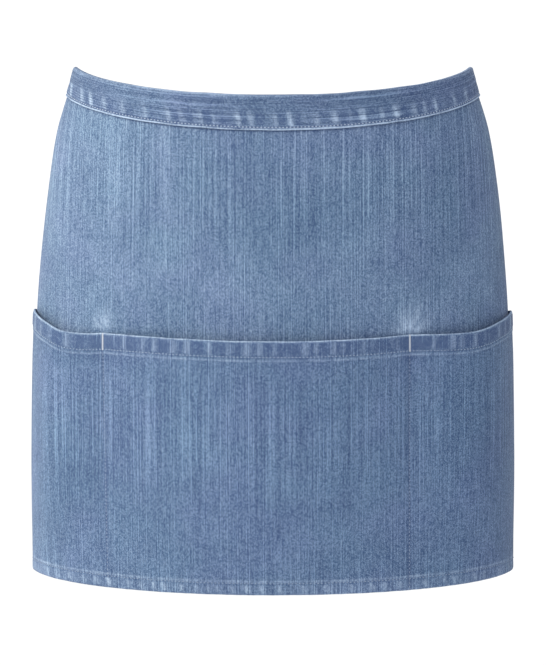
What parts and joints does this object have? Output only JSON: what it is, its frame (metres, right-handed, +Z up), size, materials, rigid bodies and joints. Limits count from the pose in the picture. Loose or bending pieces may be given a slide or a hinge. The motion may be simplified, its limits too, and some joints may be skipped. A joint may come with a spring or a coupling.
{
  "type": "denim waist apron",
  "caption": "Short denim waist apron with a folded waistband, side hems, a wide pocket panel divided by stitching, and ties knotted at the back, in its worn shape.",
  "frame": {"origin": "middle of the waist opening, level with the top edge of the waistband at the front", "axes": "+Z up, the wearer faces -Y so the front of the apron is at -Y, and +X is to the viewer's right of the front"},
  "size_m": [0.3831, 0.2231, 0.4136],
  "materials": {
    "denim_panel": "washed light-blue denim, matte, with fine vertical slubs",
    "denim_band": "washed light-blue denim, matte, with worn edges",
    "denim_pocket": "washed light-blue denim, matte, with worn hems",
    "denim_tie": "washed light-blue denim strip, matte"
  },
  "bodies": {
    "root": {"apron_panel": "denim_panel", "waistband": "denim_band", "pocket_panel": "denim_pocket", "tie_left": "denim_tie", "tie_right": "denim_tie", "tie_knot": "denim_tie", "tie_end_left": "denim_tie", "tie_end_right": "denim_tie"}
  },
  "joints": []
}
